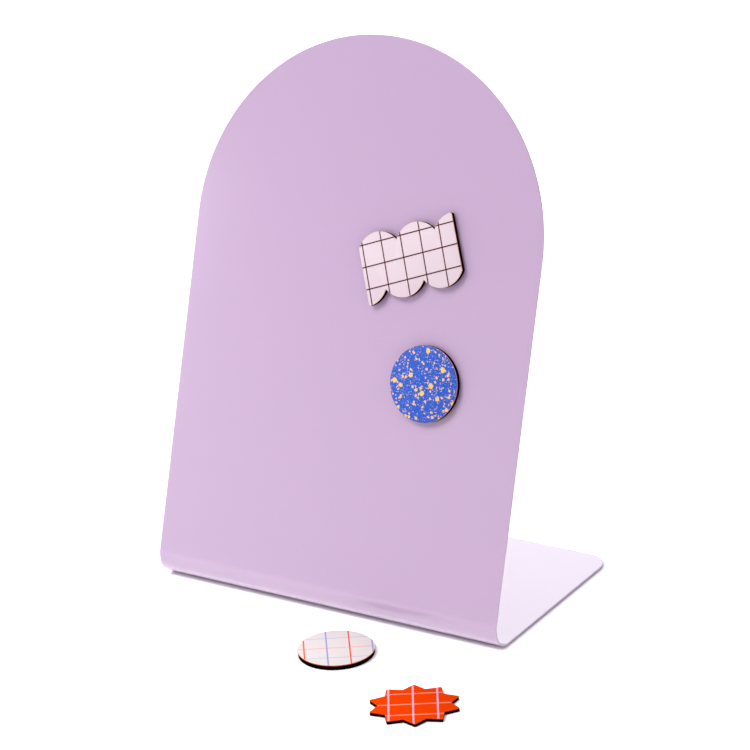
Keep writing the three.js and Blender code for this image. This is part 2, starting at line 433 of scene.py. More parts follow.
@dataclass(frozen=True)
class GripRubber:
    """Matt grey-white grip rubber with a little dust."""

    color: Rgb = rgb(214, 210, 217)
    dust: Rgb = rgb(176, 170, 176)
    dust_size: float = 2.5 * MM
    dust_detail: float = 4.0
    grain_size: float = 0.15 * MM
    grain_depth: float = 0.01 * MM
    roughness: float = 0.66
    grain_roughness: float = 0.2

    def material(self) -> bpy.types.Material:
        """Dust gathers in slow noise, and the skin is finely grained.

        Returns:
            The material.
        """
        material, graph = new_graph("grip_rubber")
        place = graph.object_place()
        grain = graph.noise(place, self.grain_size)
        dusty = graph.noise(place, self.dust_size, self.dust_detail)
        graph.surface(
            Base_Color=graph.mix(dusty, self.color, self.dust),
            Roughness=self.roughness + grain * self.grain_roughness,
            Normal=graph.bump(grain, self.grain_depth),
        )
        return material


@dataclass(frozen=True)
class LineFamily:
    """Parallel printed lines: two colours that take turns, one line every pitch.

    The lines cross the axis that they are counted along at offset plus whole pitches, and lean by turn.
    """

    pitch: float
    offset: float
    width: float
    even: Rgb
    odd: Rgb
    turn: float = 0.0

    def draw(self, graph: Graph, ground: Sock | Rgb, along: Sock, across: Sock) -> Sock:
        """Puts the lines over a ground colour.

        The place counted in pitches is (along - across * tan(turn) - offset) / pitch. The nearest whole
        number names the line, its rest names the colour, and the distance to it draws the line.

        Args:
            graph: The material's graph.
            ground: What the lines are printed on.
            along: The axis that the lines are counted along.
            across: The axis that the lines run along.

        Returns:
            The ground with the lines on it.
        """
        place = (along - across * math.tan(self.turn) - self.offset) / self.pitch
        nearest = (place + 0.5).floor()
        distance = abs(place - nearest) * self.pitch
        ink = graph.mix(nearest.modulo(2), self.even, self.odd)
        return graph.mix(distance.below(self.width / 2, INK_SOFTNESS), ground, ink)


@dataclass(frozen=True)
class Film:
    """What every printed film has: a satin face and a scorched brown edge."""

    ground: Rgb
    name: str
    roughness: float = 0.5
    shine: float = 0.2
    edge_light: Rgb = rgb(255, 198, 150)
    edge_dark: Rgb = rgb(222, 112, 62)
    edge_gain: float = 6.0
    edge_start: float = 0.5
    grain_size: float = 0.25 * MM
    grain_detail: float = 3.0
    grain_depth: float = 0.002 * MM
    roughness_spread: float = 0.08

    def printed(self, graph: Graph, across: Sock, up: Sock) -> Sock | Rgb:
        """The colour of the face. A plain film is its ground all over."""
        return self.ground

    def material(self, top: float, thickness: float) -> bpy.types.Material:
        """The print on the face, and an edge that darkens from the face down to the board.

        The drop is the depth under the face in film thicknesses, and the edge takes over from the print
        where edge_gain times the drop passes edge_start.

        Args:
            top: Height of the face in the magnet's own frame.
            thickness: The film's thickness.

        Returns:
            The material.
        """
        material, graph = new_graph(self.name)
        place = graph.own_place()
        across, up, height = graph.split(place)
        drop = (top - height) / thickness
        edge = graph.mix(drop.unit(), self.edge_light, self.edge_dark)
        face = self.printed(graph, across, up)
        grain = graph.noise(place, self.grain_size, self.grain_detail)
        graph.surface(
            Base_Color=graph.mix((drop * self.edge_gain - self.edge_start).unit(), face, edge),
            Roughness=self.roughness + grain.swing(self.roughness_spread),
            Specular_IOR_Level=self.shine,
            Normal=graph.bump(grain, self.grain_depth),
        )
        return material


@dataclass(frozen=True)
class GridFilm(Film):
    """A film with two families of lines."""

    families: tuple[LineFamily, LineFamily] = ()

    def printed(self, graph: Graph, across: Sock, up: Sock) -> Sock:
        """The colour of the face. The second family lies under the first.

        Args:
            graph: The material's graph.
            across: The axis that the first family is counted along.
            up: The axis that the second family is counted along.

        Returns:
            The printed colour.
        """
        first, second = self.families
        under = second.draw(graph, self.ground, up, across)
        return first.draw(graph, under, across, up)


@dataclass(frozen=True)
class SpeckLayer:
    """Specks of one size class: cell is their spacing, share the part of the cells that have one.

    Smallest and largest are the ends of their radius, and shift sets the layer's cells off the others'.
    """

    cell: float
    share: float
    smallest: float
    largest: float
    shift: float
    ink: Rgb


@dataclass(frozen=True)
class SpeckleFilm(Film):
    """A film with scattered specks: a fine pale mist, and ochre ones in three size classes over it."""

    ground_dark: Rgb = rgb(24, 68, 176)
    layers: tuple[SpeckLayer, ...] = (
        SpeckLayer(0.75 * MM, 0.5, 0.1 * MM, 0.24 * MM, 211 * MM, rgb(110, 140, 228)),
        SpeckLayer(1.25 * MM, 0.36, 0.16 * MM, 0.36 * MM, 143 * MM, rgb(226, 190, 146)),
        SpeckLayer(2.2 * MM, 0.4, 0.36 * MM, 0.8 * MM, 77 * MM, rgb(255, 206, 106)),
        SpeckLayer(4.6 * MM, 0.3, 0.8 * MM, 1.45 * MM, 37 * MM, rgb(255, 206, 104)),
    )
    ragged: float = 0.9 * MM
    push_size: float = 1.0 * MM
    other_layer: float = 1000 * MM
    crowd_size: float = 6 * MM
    crowd_swing: float = 1.8
    mottle_size: float = 0.4 * MM
    mottle_detail: float = 3.0
    mottle_contrast: float = 2.0
    choice_softness: float = 0.001
    shrink_share: float = 0.01

    def printed(self, graph: Graph, across: Sock, up: Sock) -> Sock:
        """Each layer is a field of random cells, some of which hold a speck of random size.

        The place is first pushed about by noise, so that the specks' edges are ragged. The push up reads
        the noise other_layer away from the push across, so that the two differ. A slower noise
        raises and lowers the share of cells with a speck, so that they crowd together in places. A speck
        has its radius in cells less shrink_share, which keeps the other cells' middles faint.

        Args:
            graph: The material's graph.
            across: Place over the disc.
            up: Place up the disc.

        Returns:
            The printed colour.
        """
        flat = graph.combine(across, up)
        other = graph.combine(across, up, self.other_layer)
        push_across = graph.noise(flat, self.push_size).swing(2 * self.ragged)
        push_up = graph.noise(other, self.push_size).swing(2 * self.ragged)
        mottle = graph.noise(flat, self.mottle_size, self.mottle_detail)
        crowd = graph.noise(flat, self.crowd_size).swing(2 * self.crowd_swing) + 1
        color = graph.mix((mottle.swing(self.mottle_contrast) + 0.5).unit(), self.ground_dark, self.ground)
        for layer in self.layers:
            place = graph.combine(across + push_across + layer.shift, up + push_up + layer.shift)
            cells = graph.node(
                "ShaderNodeTexVoronoi",
                {"voronoi_dimensions": "2D"},
                {"Vector": place, "Scale": 1 / layer.cell, "Randomness": 1.0},
            )
            chance, size, _ = graph.split(cells.out("Color"))
            radius = (layer.smallest + size * (layer.largest - layer.smallest)) / layer.cell
            held = radius * chance.below(crowd * layer.share, self.choice_softness)
            speck = cells.out("Distance").below(held - self.shrink_share, INK_SOFTNESS / layer.cell)
            color = graph.mix(speck, color, layer.ink)
        return color


# Surfaces


@dataclass
class Surface:
    """Faces in flat arrays.

    Attributes:
        points: One row of three numbers for each point.
        corners: The point of every face corner, face after face.
        counts: How many corners each face has.
    """

    points: np.ndarray
    corners: np.ndarray
    counts: np.ndarray


def unit_circle(steps: int) -> np.ndarray:
    """Points round a circle of radius 1, counterclockwise from +X. Each is (cos(angle), sin(angle)).

    Args:
        steps: How many points there are.

    Returns:
        Two numbers for each point.
    """
    angle = np.linspace(0, 2 * math.pi, steps, endpoint=False)
    return np.stack([np.cos(angle), np.sin(angle)], axis=1)


def raised(loop: np.ndarray, height: float) -> np.ndarray:
    """Lifts flat points to a height.

    Args:
        loop: Two numbers for each point.
        height: The third number of all.

    Returns:
        Three numbers for each point.
    """
    return np.column_stack([loop, np.full(len(loop), height)])


def grid_surface(points: np.ndarray, wrap: bool = False) -> Surface:
    """Joins a grid of points into quads.

    Quad (i, j) has the corners (i, j), (i, j + 1), (i + 1, j + 1) and (i + 1, j), so it faces the side from
    which rows run up and columns run to the right.

    Args:
        points: An array of rows by columns by 3.
        wrap: Whether the last column joins the first.

    Returns:
        The surface.
    """
    rows, columns = points.shape[:2]
    index = np.arange(rows * columns).reshape(rows, columns)
    if wrap:
        index = np.concatenate([index, index[:, :1]], axis=1)
    quads = np.stack([index[:-1, :-1], index[:-1, 1:], index[1:, 1:], index[1:, :-1]], axis=-1)
    corners = quads.reshape(-1)
    return Surface(points.reshape(-1, 3), corners, np.full(len(corners) // 4, 4))


def cap_surface(loop: np.ndarray, upward: bool) -> Surface:
    """Fills a flat loop, drawn counterclockwise seen from above, with one face.

    Args:
        loop: The points of the loop.
        upward: Whether the face looks up.

    Returns:
        The surface.
    """
    corners = np.arange(len(loop))
    return Surface(loop, corners if upward else corners[::-1], np.array([len(loop)]))


def ring_surface(outer: np.ndarray, inner: np.ndarray, height: float) -> Surface:
    """Fills the flat space between two loops with triangles that look down.

    The space is filled by a Delaunay triangulation that keeps both loops and leaves the inner one open.

    Args:
        outer: The outer loop, two numbers a point.
        inner: The inner loop, two numbers a point.
        height: The height that the space lies at.

    Returns:
        The surface.
    """
    flat = np.concatenate([outer, inner])
    first = np.arange(len(outer))
    second = np.arange(len(inner)) + len(outer)
    edges = np.concatenate([
        np.stack([first, np.roll(first, -1)], axis=1),
        np.stack([second, np.roll(second, -1)], axis=1),
    ])
    scaled = [Vector(point) for point in (flat / MM).tolist()]
    made, _, faces, *_ = delaunay_2d_cdt(scaled, edges.tolist(), [], 2, SAME_SPOT / MM)
    spots = np.array([tuple(point) for point in made]) * MM
    triangles = np.array(faces)
    return Surface(raised(spots, height), triangles[:, ::-1].reshape(-1), np.full(len(triangles), 3))


def join_surfaces(surfaces: Sequence[Surface]) -> Surface:
    """Puts surfaces into one. Their shared points are welded later.

    Args:
        surfaces: The surfaces.

    Returns:
        The joined surface.
    """
    starts = np.cumsum([0] + [len(surface.points) for surface in surfaces[:-1]])
    moved = [surface.corners + start for surface, start in zip(surfaces, starts)]
    return Surface(
        np.concatenate([surface.points for surface in surfaces]),
        np.concatenate(moved),
        np.concatenate([surface.counts for surface in surfaces]),
    )


def add_point_values(mesh: bpy.types.Mesh, name: str, values: np.ndarray) -> None:
    """Stores a number or a vector for each point of a mesh.

    Args:
        mesh: The mesh.
        name: The attribute's name.
        values: One number or one row of three for each point.
    """
    vector = values.ndim == 2
    attribute = mesh.attributes.new(name, "FLOAT_VECTOR" if vector else "FLOAT", "POINT")
    attribute.data.foreach_set("vector" if vector else "value", values.astype(np.float32).ravel())


def mesh_points(mesh: bpy.types.Mesh) -> np.ndarray:
    """Reads the points of a mesh.

    Args:
        mesh: The mesh.

    Returns:
        One row of three numbers for each point.
    """
    flat = np.empty(len(mesh.vertices) * 3, np.float32)
    mesh.vertices.foreach_get("co", flat)
    return flat.reshape(-1, 3)


def make_piece(
    name: str,
    surface: Surface,
    place: Matrix,
    values: dict[str, Callable[[np.ndarray], np.ndarray]] | None = None,
) -> bpy.types.Object:
    """Welds a surface into a closed mesh, stores its values and puts it in its place.

    Args:
        name: The piece's name.
        surface: The surface in the piece's own frame.
        place: The matrix from the own frame to the row's frame.
        values: Functions from the own points to a value for each point, by attribute name.

    Returns:
        The piece, an object at the origin with its place in its mesh.
    """
    mesh = bpy.data.meshes.new(name)
    mesh.vertices.add(len(surface.points))
    mesh.vertices.foreach_set("co", surface.points.astype(np.float32).ravel())
    mesh.loops.add(len(surface.corners))
    mesh.loops.foreach_set("vertex_index", surface.corners.astype(np.int32))
    mesh.polygons.add(len(surface.counts))
    starts = np.cumsum(surface.counts) - surface.counts
    mesh.polygons.foreach_set("loop_start", starts.astype(np.int32))
    mesh.update(calc_edges=True)
    work = bmesh.new()
    work.from_mesh(mesh)
    bmesh.ops.remove_doubles(work, verts=work.verts, dist=WELD_DISTANCE)
    work.to_mesh(mesh)
    work.free()
    own = mesh_points(mesh)
    add_point_values(mesh, OWN, own)
    for key, function in (values or {}).items():
        add_point_values(mesh, key, function(own))
    mesh.transform(place)
    mesh.polygons.foreach_set("use_smooth", np.ones(len(mesh.polygons), bool))
    mesh.set_sharp_from_angle(angle=CREASE_ANGLE)
    mesh.update()
    piece = bpy.data.objects.new(name, mesh)
    bpy.context.scene.collection.objects.link(piece)
    return piece


def dress(piece: bpy.types.Object, material: bpy.types.Material, body: str, node: str) -> None:
    """Gives a piece its material and its place in the model.

    Args:
        piece: The piece.
        material: Its material.
        body: The body that it moves with.
        node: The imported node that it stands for.
    """
    piece.data.materials.append(material)
    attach(piece, body)
    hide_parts(node)
    log.info("%s: %d faces, on %s, for %s", piece.name, len(piece.data.polygons), body, node)


def box_centre(node: str) -> Vector:
    """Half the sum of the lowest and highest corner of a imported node's box.

    Args:
        node: The node's name.

    Returns:
        The box's middle.
    """
    low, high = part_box(node)
    return (low + high) / 2


def quarter_round(radius: float, steps: int) -> np.ndarray:
    """A quarter of a circle as inset and depth, from the flat face to the upright edge.

    Inset is radius times (1 - sin(angle)) and depth is radius times (1 - cos(angle)).

    Args:
        radius: The round's radius.
        steps: How many straight pieces it has.

    Returns:
        One row of inset and depth for each point.
    """
    angle = np.linspace(0, math.pi / 2, steps + 1)
    return np.stack([radius * (1 - np.sin(angle)), radius * (1 - np.cos(angle))], axis=1)


def turned_surface(profile: np.ndarray, steps: int) -> Surface:
    """Turns a profile of radius and height round +Z.

    The point at an angle is (radius * cos, radius * sin, height). The profile starts and ends on the axis,
    and runs from the foot out and up, so the faces look out.

    Args:
        profile: One row of radius and height for each point.
        steps: How many straight pieces go round.

    Returns:
        The closed surface.
    """
    radius, height = profile[:, :1], profile[:, 1:]
    across, up = (radius * part for part in unit_circle(steps).T)
    return grid_surface(np.stack([across, up, height + 0 * across], axis=-1), wrap=True)


def button_profile(diameter: float, thickness: float, edge: float, steps: int) -> np.ndarray:
    """A flat button's profile: foot, rounded rim, wall, rounded rim and top.

    Args:
        diameter: The button's diameter.
        thickness: Its thickness.
        edge: The radius of both rims.
        steps: How many straight pieces each rim has.

    Returns:
        One row of radius and height for each point.
    """
    inset, depth = quarter_round(edge, steps).T
    low = np.stack([diameter / 2 - inset, depth], axis=1)
    high = np.stack([low[::-1, 0], thickness - low[::-1, 1]], axis=1)
    return np.concatenate([[[0, 0]], low, high, [[0, thickness]]])


# Folded sheet and its pads


@dataclass
class FoldedSheet:
    """One steel sheet with an arched top, folded so that its foot runs back under the panel."""

    finish: PowderCoat
    body: str = "board"
    node: str = "board_sheet"
    slot: str = "powder_coated_steel"
    thickness: float = 1 * MM
    lean: float = math.radians(18.5)
    bend_radius: float = 12.5 * MM
    foot_depth: float = 112 * MM
    panel_straight: float = 184 * MM
    corner_radius: float = 13 * MM
    edge_round: float = 0.3 * MM
    edge_flat_inside: float = 0.5 * MM
    edge_steps: int = 6
    columns: int = 60
    corner_steps: int = 18
    foot_steps: int = 12
    bend_steps: int = 54
    panel_steps: int = 24
    arch_steps: int = 96

    def __post_init__(self) -> None:
        """Works out what follows from the sizes and the frame."""
        low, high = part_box(self.node)
        self.width = high.x - low.x
        self.underside = low.z
        self.origin = Vector(((low.x + high.x) / 2, high.y - self.foot_depth, 0))
        self.bend_angle = math.pi / 2 + self.lean
        self.bend_length = (self.bend_radius - self.thickness / 2) * self.bend_angle
        self.arch_start = self.foot_depth + self.bend_length + self.panel_straight

    def fold(self, across: np.ndarray, along: np.ndarray, depth: np.ndarray) -> np.ndarray:
        """Folds points of the flat blank.

        Over the foot a point keeps its place. In the bend it lies on a circle round the fold's axis, whose
        radius is the outer radius less its depth, at an angle that grows with the distance along. Past the
        bend it goes straight on up the panel.

        Args:
            across: Place over the width.
            along: Distance from the foot's rear edge on the sheet's middle layer.
            depth: Distance in from the foot's underside, the bend's outside and the panel's front.

        Returns:
            The folded points in the row's frame.
        """
        radius = self.bend_radius - depth
        past_foot = along - self.foot_depth
        angle = np.clip(past_foot / self.bend_length, 0, 1) * self.bend_angle
        up_panel = np.maximum(past_foot - self.bend_length, 0)
        on_foot = np.minimum(past_foot, 0)
        back = up_panel * math.sin(self.lean) - radius * np.sin(angle) - on_foot
        up = self.bend_radius + up_panel * math.cos(self.lean) - radius * np.cos(angle)
        points = np.stack(np.broadcast_arrays(across, back, up + self.underside), axis=-1)
        return points + np.array(self.origin)

    def stations(self) -> np.ndarray:
        """The right half of the blank's outline, from the rear edge to the arch's top.

        Returns:
            One row for each station: half width, distance along, and the outward direction's parts
            across and along.
        """
        side = self.width / 2
        turn = np.linspace(0, math.pi / 2, self.corner_steps + 1)
        corner = np.stack([
            side - self.corner_radius * (1 - np.sin(turn)),
            self.corner_radius * (1 - np.cos(turn)),
            np.sin(turn),
            -np.cos(turn),
        ], axis=1)
        marks = [self.corner_radius, self.foot_depth, self.foot_depth + self.bend_length, self.arch_start]
        counts = [self.foot_steps, self.bend_steps, self.panel_steps]
        spans = [
            np.linspace(low, high, count + 1)[1:]
            for low, high, count in zip(marks[:-1], marks[1:], counts)
        ]
        straight = np.concatenate(spans)
        sides = np.stack([
            np.full_like(straight, side), straight, np.ones_like(straight), np.zeros_like(straight),
        ], axis=1)
        rise = np.linspace(0, math.pi / 2, self.arch_steps + 1)[1:]
        arch = np.stack([
            side * np.cos(rise), self.arch_start + side * np.sin(rise), np.cos(rise), np.sin(rise),
        ], axis=1)
        return np.concatenate([corner, sides, arch])

    def edge_section(self) -> np.ndarray:
        """The cut edge from face to face: a short flat, a quarter round, and the same back again.

        Returns:
            One row of inset and depth for each point, from the front face to the back.
        """
        rounding = quarter_round(self.edge_round, self.edge_steps)
        inner = [[self.edge_round + self.edge_flat_inside, 0.0]]
        front = np.concatenate([inner, rounding])
        back = front[::-1] * [1, -1] + [0, self.thickness]
        return np.concatenate([front, back])

    def surface(self) -> Surface:
        """Front and back faces, both side edges and the rear edge.

        A face's point at station i and share s from -1 to 1 has the place s times the half width less the
        edge's inset, at the station's distance along. The edges carry the edge section along the outline:
        each of its points goes in from the outline, against the outward direction, by its inset.

        Returns:
            The closed surface.
        """
        half, along, out_across, out_along = self.stations()[:, :, None].transpose(1, 0, 2)
        inset, depth = self.edge_section().T
        edge_across = half - inset * out_across
        edge_along = along - inset * out_along
        right = self.fold(edge_across, edge_along, depth)
        left = self.fold(-edge_across, edge_along, depth)
        share = np.linspace(-1, 1, self.columns + 1)
        face_across = edge_across[:, :1] * share
        face_along = edge_along[:, :1]
        front = self.fold(face_across, face_along, np.zeros(1))
        back = self.fold(face_across, face_along, np.full(1, self.thickness))
        rear_across = face_across[0][:, None] + 0 * inset
        rear = self.fold(rear_across, edge_along[0] + 0 * rear_across, depth + 0 * rear_across)
        return join_surfaces([
            grid_surface(front[:, ::-1]),
            grid_surface(back),
            grid_surface(right[:, ::-1]),
            grid_surface(left),
            grid_surface(rear),
        ])

    def build(self) -> None:
        """Makes and dresses the sheet."""
        piece = make_piece("folded_sheet", self.surface(), Matrix.Identity(4))
        dress(piece, self.finish.material(), self.body, self.node)


@dataclass
class GripPads:
    """Four thin round pads under the foot."""

    finish: GripRubber
    body: str = "board"
    slot: str = "grip_rubber"
    edge: float = 0.15 * MM
    edge_steps: int = 4
    steps: int = 64
    places: tuple[str, ...] = ("front_left", "front_right", "rear_left", "rear_right")

    def build(self) -> None:
        """Makes a pad in the box of each packed one."""
        material = self.finish.material()
        for place in self.places:
            node = f"foot_pad_{place}"
            low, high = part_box(node)
            profile = button_profile(high.x - low.x, high.z - low.z, self.edge, self.edge_steps)
            centre = (low + high) / 2
            stand = Matrix.Translation((centre.x, centre.y, low.z))
            piece = make_piece(f"grip_pad_{place}", turned_surface(profile, self.steps), stand)
            dress(piece, material, self.body, node)


# Outlines of the magnets, as functions of how far they are drawn in


@dataclass(frozen=True)
class DiscOutline:
    """A round outline."""

    diameter: float = 40 * MM
    steps: int = 192

    def points(self, setback: float) -> np.ndarray:
        """A circle whose radius is half the diameter less the setback."""
        return (self.diameter / 2 - setback) * unit_circle(self.steps)


@dataclass(frozen=True)
class ScallopOutline:
    """Two whole lobes and a half one along each long edge, one edge being the other turned half round."""

    length: float = 57.8 * MM
    height: float = 36.8 * MM
    notch_depth: float = 6.5 * MM
    corner_radius: float = 1 * MM
    whole_lobes: int = 2
    lobe_steps: int = 48
    corner_steps: int = 8

    def points(self, setback: float) -> np.ndarray:
        """Each lobe is an arc round its centre, whose radius is the lobe's less the setback.

        Half a lobe's chord h and the notch depth n give the lobe's radius (h * h + n * n) / (2 * n).

        Args:
            setback: How far the outline is drawn in.

        Returns:
            Two numbers for each point, counterclockwise.
        """
        half_length = self.length / 2
        half_lobe = half_length / (self.whole_lobes + 0.5)
        lobe_radius = (half_lobe**2 + self.notch_depth**2) / (2 * self.notch_depth)
        centre_up = self.height / 2 - lobe_radius
        radius = lobe_radius - setback
        side = half_length - setback
        notch = math.asin(half_lobe / radius)
        meet = math.asin((half_lobe - setback) / radius)
        corner_radius = self.corner_radius - setback
        reach = lobe_radius - self.corner_radius
        tilt = math.asin(self.corner_radius / reach)

        def arc(centre: tuple[float, float], size: float, lean: float, end: float, steps: int) -> np.ndarray:
            """An arc clockwise from one lean off the upright, to the left, to another, to the right."""
            angle = math.pi / 2 + np.linspace(lean, -end, steps + 1)
            return np.array(centre) + size * np.stack([np.cos(angle), np.sin(angle)], axis=1)

        pieces = []
        for lobe in range(self.whole_lobes):
            centre = -half_length + half_lobe * (2 * lobe + 1)
            lean = meet if lobe == 0 else notch
            pieces.append(arc((centre, centre_up), radius, lean, notch, self.lobe_steps)[:-1])
        half_steps = self.lobe_steps // 2
        pieces.append(arc((half_length, centre_up), radius, notch, -tilt, half_steps)[:-1])
        corner = (side - corner_radius, centre_up + reach * math.cos(tilt))
        pieces.append(arc(corner, corner_radius, tilt, math.pi / 2, self.corner_steps))
        upper = np.concatenate(pieces)
        return np.concatenate([upper, -upper])[::-1]


@dataclass(frozen=True)
class StarOutline:
    """Points on an oval and valleys on a smaller one, with blunted tips."""

    count: int = 10
    length: float = 47.2 * MM
    height: float = 41.9 * MM
    valley_length: float = 36.4 * MM
    valley_height: float = 32.6 * MM
    tip_cut_share: float = 0.08
    tip_steps: int = 6

    def points(self, setback: float) -> np.ndarray:
        """Tips and valleys take turns on the two ovals, each drawn in by the setback.

        A tip is cut at a small share of the way down to each valley beside it and bridged by the quadratic
        curve (1 - t)^2 * rise + 2 * t * (1 - t) * tip + t^2 * fall.

        Args:
            setback: How far both ovals are drawn in.

        Returns:
            Two numbers for each point, counterclockwise.
        """
        angle = math.pi / 2 + math.pi * np.arange(2 * self.count) / self.count
        ray = np.stack([np.cos(angle), np.sin(angle)], axis=1)
        tips = ray[::2] * (np.array([self.length, self.height]) / 2 - setback)
        valleys = ray[1::2] * (np.array([self.valley_length, self.valley_height]) / 2 - setback)
        before = np.roll(valleys, 1, axis=0)
        rise = tips + (before - tips) * self.tip_cut_share
        fall = tips + (valleys - tips) * self.tip_cut_share
        t = np.linspace(0, 1, self.tip_steps + 1)[None, :, None]
        curve = (1 - t) ** 2 * rise[:, None] + 2 * t * (1 - t) * tips[:, None] + t**2 * fall[:, None]
        return np.concatenate([curve, valleys[:, None]], axis=1).reshape(-1, 2)


Outline = DiscOutline | ScallopOutline | StarOutline


class Seat(Enum):
    """What a magnet lies on."""

    PANEL = "panel"
    DESK = "desk"


# Magnets


@dataclass
class Magnet:
    """A cut board with a printed film on its face and a puck in a pocket in its back."""

    name: str
    outline: Outline
    film: Film
    slot: str
    seat: Seat
    turn: float
    board_finish: bpy.types.Material
    puck_finish: bpy.types.Material
    sheet: FoldedSheet
    board_thickness: float = 2.6 * MM
    film_thickness: float = 0.25 * MM
    film_setback: float = 0.04 * MM
    film_bevel: float = 0.14 * MM
    film_bevel_depth: float = 0.1 * MM
    glue_line: float = 0.05 * MM
    seam: float = 0.005 * MM
    wall_draft: float = 0.1 * MM
    wall_round: float = 0.08 * MM
    wall_round_steps: int = 3
    halo_width: float = 0.55 * MM
    halo_line_reach: float = 0.01 * MM
    puck_diameter: float = 10 * MM
    puck_thickness: float = 1 * MM
    puck_recess: float = 0.1 * MM
    puck_edge: float = 0.12 * MM
    puck_edge_steps: int = 4
    pocket_clearance: float = 0.15 * MM
    pocket_steps: int = 96

    @property
    def face_height(self) -> float:
        """Height of the printed face over the back."""
        return self.board_thickness + self.glue_line + self.film_thickness

    @property
    def halo_inset(self) -> float:
        """How far in from the outline the soot on the back ends."""
        return self.wall_draft + self.wall_round + self.halo_width

    def place(self) -> Matrix:
        """Finds where the magnet lies: its back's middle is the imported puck's, moved down the face's normal.

        Returns:
            The matrix from the own frame, back at height zero and face up, to the row's frame.
        """
        tilt = math.pi / 2 - self.sheet.lean if self.seat is Seat.PANEL else 0.0
        attitude = Matrix.Rotation(tilt, 4, "X") @ Matrix.Rotation(self.turn, 4, "Z")
        puck_middle = self.puck_recess + self.puck_thickness / 2
        normal = attitude.to_3x3() @ Vector((0, 0, 1))
        back = box_centre(f"{self.name}_puck") - normal * puck_middle
        return Matrix.Translation(back) @ attitude

    def swept(self, profile: np.ndarray) -> np.ndarray:
        """Carries a profile round the outline: each row is the outline drawn in by the row's inset.

        Args:
            profile: One row of inset and height for each point, from the back up.

        Returns:
            An array of profile rows by outline points by 3.
        """
        return np.stack([raised(self.outline.points(inset), height) for inset, height in profile])

    def board_surface(self) -> Surface:
        """The board: a back with a round pocket, a wall that narrows towards the back, and a top.

        Returns:
            The closed surface.
        """
        top = self.board_thickness
        inset, rise = quarter_round(self.wall_round, self.wall_round_steps).T
        low = np.stack([self.wall_draft + inset, rise], axis=1)
        high = np.stack([inset[::-1], top - rise[::-1]], axis=1)
        wall = self.swept(np.concatenate([[[self.halo_inset, 0]], low, high]))
        rim = unit_circle(self.pocket_steps) * (self.puck_diameter / 2 + self.pocket_clearance)
        depth = self.puck_recess + self.puck_thickness + self.glue_line
        pocket = np.stack([raised(rim, depth), raised(rim, 0)])
        return join_surfaces([
            grid_surface(wall, wrap=True),
            cap_surface(wall[-1], upward=True),
            ring_surface(wall[0][:, :2], rim, 0.0),
            grid_surface(pocket, wrap=True),
            cap_surface(pocket[0], upward=False),
        ])

    def film_surface(self) -> Surface:
        """The film: a thin plate on the board's top with a worn bevel along its upper rim.

        Returns:
            The closed surface.
        """
        foot = self.board_thickness + self.seam
        top = self.face_height
        profile = np.array([
            [self.film_setback, foot],
            [self.film_setback, top - self.film_bevel_depth],
            [self.film_setback + self.film_bevel / 2, top - self.film_bevel_depth / 3],
            [self.film_setback + self.film_bevel, top],
        ])
        wall = self.swept(profile)
        return join_surfaces([
            grid_surface(wall, wrap=True),
            cap_surface(wall[-1], upward=True),
            cap_surface(wall[0], upward=False),
        ])

    def soot(self, own: np.ndarray) -> np.ndarray:
        """How sooty the board is: 1 on the wall and its rims, 0 at the halo's inner end and in the pocket.

        Args:
            own: The board's points in its own frame.

        Returns:
            One number for each point.
        """
        halo_line = self.outline.points(self.halo_inset)
        gap = np.linalg.norm(own[:, None, :2] - halo_line[None], axis=2).min(axis=1)
        on_halo_line = (own[:, 2] < WELD_DISTANCE) & (gap < self.halo_line_reach)
        in_pocket = np.hypot(own[:, 0], own[:, 1]) < self.puck_diameter
        return np.where(on_halo_line | in_pocket, 0.0, 1.0)

    def build(self, body: str) -> None:
        """Makes and dresses the board, the film and the puck.

        Args:
            body: The body that the magnet is.
        """
        place = self.place()
        values = {SOOT: self.soot, BELOW: lambda own: self.board_thickness - own[:, 2]}
        board = make_piece(f"{self.name}_board", self.board_surface(), place, values)
        dress(board, self.board_finish, body, f"{self.name}_core")
        film = make_piece(f"{self.name}_print", self.film_surface(), place)
        print_finish = self.film.material(self.face_height, self.face_height - self.board_thickness)
        dress(film, print_finish, body, f"{self.name}_face")
        sizes = (self.puck_diameter, self.puck_thickness, self.puck_edge, self.puck_edge_steps)
        profile = button_profile(*sizes)
        lift = Matrix.Translation((0, 0, self.puck_recess))
        puck = make_piece(f"{self.name}_disc", turned_surface(profile, self.pocket_steps), place @ lift)
        dress(puck, self.puck_finish, body, f"{self.name}_puck")


# Studio


def direction(azimuth: float, elevation: float) -> Vector:
    """The way from the board to a place round it, of length 1.

    Its parts are sin(azimuth) * cos(elevation), -cos(azimuth) * cos(elevation) and sin(elevation).

    Args:
        azimuth: Degrees round from the board's front towards its right.
        elevation: Degrees above the desk.

    Returns:
        The direction.
    """
    turn, rise = math.radians(azimuth), math.radians(elevation)
    return Vector((math.sin(turn) * math.cos(rise), -math.cos(turn) * math.cos(rise), math.sin(rise)))


def stand(name: str, data: bpy.types.ID, place: Vector, attitude: Quaternion) -> bpy.types.Object:
    """Puts a lamp or the camera in the scene.

    Args:
        name: Its name.
        data: The lamp's or the camera's data.
        place: Where it stands.
        attitude: How it is turned.

    Returns:
        The object.
    """
    made = bpy.data.objects.new(name, data)
    made.location = place
    made.rotation_mode = "QUATERNION"
    made.rotation_quaternion = attitude
    bpy.context.scene.collection.objects.link(made)
    return made


